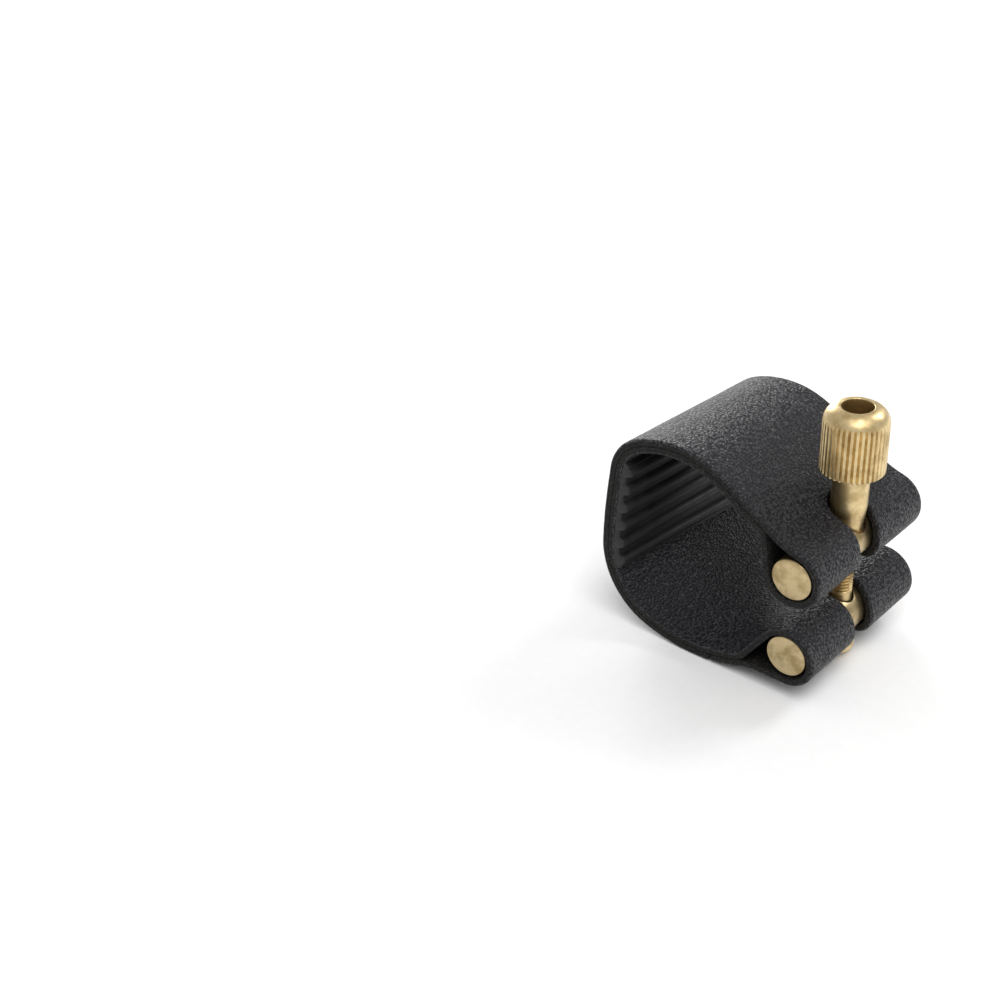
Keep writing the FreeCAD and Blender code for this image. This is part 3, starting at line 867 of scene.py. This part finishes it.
def leather_material():
    """Black hide pressed with a fine pebble grain, with painted highlight on the pebbles' tops and
    painted shade in the valleys between them.
    """
    n = Nodes("pebbled_leather")
    place = n.place()
    wander = n.add("TexNoise", Vector=place, Scale=1.1, Detail=2.0)
    shifted = n.add("VectorMath", operation="MULTIPLY_ADD")
    n.feed(shifted.inputs[0], wander.outputs["Color"])
    shifted.inputs[1].default_value = (0.7, 0.7, 0.7)
    n.feed(shifted.inputs[2], place)
    cells = n.add("TexVoronoi", feature="SMOOTH_F1", Scale=2.5, Smoothness=0.1, Randomness=0.85)
    n.feed(cells.inputs["Vector"], shifted.outputs["Vector"])
    pebble = n.ramp(cells.outputs["Distance"], 0.12, 0.7, 1.0, 0.0)
    grit = n.noise(place, 7.0, 3.0, 0.6)
    swell = n.noise(place, 0.8, 2.0, 0.5)
    height = n.math("ADD", pebble, n.math("MULTIPLY", grit, 0.12))
    # Painted highlight on the pebble tops and painted shade in their valleys, varied by random
    # grit; it also sets the roughness.
    painted_pebble_light = n.math("MULTIPLY", pebble, n.ramp(grit, 0.3, 0.7, 0.75, 1.0))
    # Base colour: painted shade in the valleys, painted highlight on the pebble tops.
    n.set(Base_Color=n.mix(painted_pebble_light, (0.009, 0.009, 0.0115), (0.0145, 0.0145, 0.019)))
    n.set(Roughness=n.ramp(painted_pebble_light, 0.0, 1.0, 0.55, 0.27))
    n.set(Specular_IOR_Level=n.ramp(pebble, 0.0, 1.0, 0.2, 0.8))
    waves = n.bump(swell, 0.35, 0.15 * MM)
    n.set(Normal=n.bump(height, 1.0, 0.26 * MM, waves))
    return n.material


def cut_edge_material():
    """The knife-cut edge: dark and matt, with paler fibres standing out of it."""
    n = Nodes("leather_cut_edge")
    place = n.place()
    fibres = n.noise(n.place((5.0, 1.5, 5.0)), 1.3, 4.0, 0.7)
    fleck = n.noise(place, 5.0, 2.0, 0.6)
    share = n.math("MULTIPLY", n.ramp(fibres, 0.5, 0.64), n.ramp(fleck, 0.45, 0.6))
    n.set(Base_Color=n.mix(share, (0.003, 0.003, 0.003), (0.11, 0.10, 0.085)))
    n.set(Roughness=n.ramp(fibres, 0.3, 0.7, 0.75, 0.95), Specular_IOR_Level=0.3)
    n.set(Normal=n.bump(n.math("ADD", fibres, fleck), 1.0, 0.2 * MM))
    return n.material


def rubber_material():
    """Moulded black rubber with a faint bloom."""
    n = Nodes("moulded_rubber")
    place = n.place()
    bloom = n.noise(place, 0.5, 4.0, 0.6)
    grit = n.noise(place, 9.0, 2.0, 0.5)
    n.set(Base_Color=n.mix(n.ramp(bloom, 0.35, 0.7), (0.004, 0.004, 0.005), (0.011, 0.011, 0.012)))
    n.set(Roughness=n.ramp(bloom, 0.3, 0.7, 0.5, 0.68), Specular_IOR_Level=0.45)
    n.set(Normal=n.bump(grit, 0.3, 0.03 * MM))
    return n.material


def brass_material(name, stretch, streak_scale, tones):
    """Satin brass: fine tool marks, handling smudges and a warm, uneven tone."""
    clean, tarnished = tones
    n = Nodes(name)
    place = n.place()
    streaks = n.noise(n.place(stretch), streak_scale, 3.0, 0.6)
    smudge = n.noise(place, 0.45, 4.0, 0.62)
    speck = n.noise(place, 6.0, 3.0, 0.6)
    base = n.mix(n.ramp(smudge, 0.42, 0.62), clean, tarnished)
    dots = n.mix(n.ramp(speck, 0.58, 0.75, 0.0, 0.6), base, (0.38, 0.25, 0.10))
    rough = n.math("ADD", n.ramp(smudge, 0.3, 0.7, 0.27, 0.4), n.ramp(streaks, 0.3, 0.7, 0.0, 0.1))
    n.set(Base_Color=dots, Metallic=1.0, Roughness=rough)
    marks = n.bump(streaks, 0.35, 0.03 * MM)
    n.set(Normal=n.bump(speck, 0.2, 0.03 * MM, marks))
    return n.material


def floor_material():
    """Plain pale paper."""
    n = Nodes("pale_paper")
    place = n.add("TexCoord").outputs["Object"]
    fibre = n.noise(place, 900.0, 2.0)
    n.set(Base_Color=n.mix(fibre, (0.90, 0.90, 0.90), (0.94, 0.94, 0.94)), Roughness=0.9)
    return n.material


# ---------------------------------------------------------------- stage

def build_stage():
    """Floor, soft lights and the camera at the viewing angle."""
    build_floor()
    build_lights()
    bpy.context.scene.view_settings.view_transform = "Standard"
    build_camera()


def build_floor():
    height = min(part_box(name)[0].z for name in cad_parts) - FLOOR_DROP
    signs = ((-1, -1), (1, -1), (1, 1), (-1, 1))
    corners = [(x * FLOOR_HALF, y * FLOOR_HALF, height) for x, y in signs]
    new_piece("floor", corners, [(0, 1, 2, 3)], floor_material())


def build_lights():
    """A white sky, a broad sun and the soft boxes."""
    world = bpy.data.worlds.new("studio")
    bpy.context.scene.world = world
    world.use_nodes = True
    background = world.node_tree.nodes["Background"]
    background.inputs["Color"].default_value = (1.0, 1.0, 1.0, 1.0)
    background.inputs["Strength"].default_value = WORLD_STRENGTH
    sun = add_lamp("soft_sun", "SUN", SUN_STRENGTH, SUN_FROM)
    sun.angle = math.radians(SUN_SPREAD)
    for name, box in SOFT_BOXES.items():
        lamp = add_lamp(name, "AREA", box["power"], box["place"])
        lamp.size = box["size"]


def add_lamp(name, kind, energy, place):
    """A lamp that faces the object from its place."""
    data = bpy.data.lights.new(name, kind)
    data.energy = energy
    lamp = bpy.data.objects.new(name, data)
    lamp.location = place
    lamp.rotation_euler = (-Vector(place)).to_track_quat("-Z", "Y").to_euler()
    bpy.context.scene.collection.objects.link(lamp)
    return data


def build_camera():
    data = bpy.data.cameras.new("view")
    data.lens = CAMERA_LENS
    data.sensor_width = CAMERA_SENSOR
    data.clip_start = 0.01
    data.clip_end = 20.0
    camera = bpy.data.objects.new("view", data)
    turn = Matrix.Rotation(math.radians(CAMERA_AZIMUTH), 4, "Z")
    tilt = Matrix.Rotation(math.radians(90 - CAMERA_ELEVATION), 4, "X")
    roll = Matrix.Rotation(math.radians(CAMERA_ROLL), 4, "Z")
    camera.matrix_world = Matrix.Translation(CAMERA_PLACE) @ turn @ tilt @ roll
    bpy.context.scene.collection.objects.link(camera)
    bpy.context.scene.camera = camera


# ---------------------------------------------------------------- the object

def repaint(node, material):
    """Give a kept CAD node a finished material."""
    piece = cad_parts[node]
    piece.data.materials.clear()
    piece.data.materials.append(material)


def build_object():
    strap = build_strap(leather_material(), cut_edge_material())
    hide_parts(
        "arm_outer_ply", "arm_inner_ply", "wall_outer_ply", "wall_inner_ply", "belly_flap")
    pad = build_pad(rubber_material())
    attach(pad, "wall")
    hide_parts("reed_pad")
    turned = brass_material("turned_brass", (1.0, 1.0, 14.0), 1.2, TURNED_TONES)
    nut = build_nut(turned)
    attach(nut, "thumb_nut")
    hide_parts("thumb_nut")
    bolt = build_bolt(turned)
    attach(bolt, "lower_bar")
    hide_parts("clamp_bolt")
    # The bars use a darker copy of the turned brass: painted shade.
    bars = brass_material("shaded_bar_brass", (1.0, 8.0, 1.0), 1.0, SHADED_BAR_TONES)
    repaint("upper_bar", bars)
    repaint("lower_bar", bars)


build_stage()
build_object()
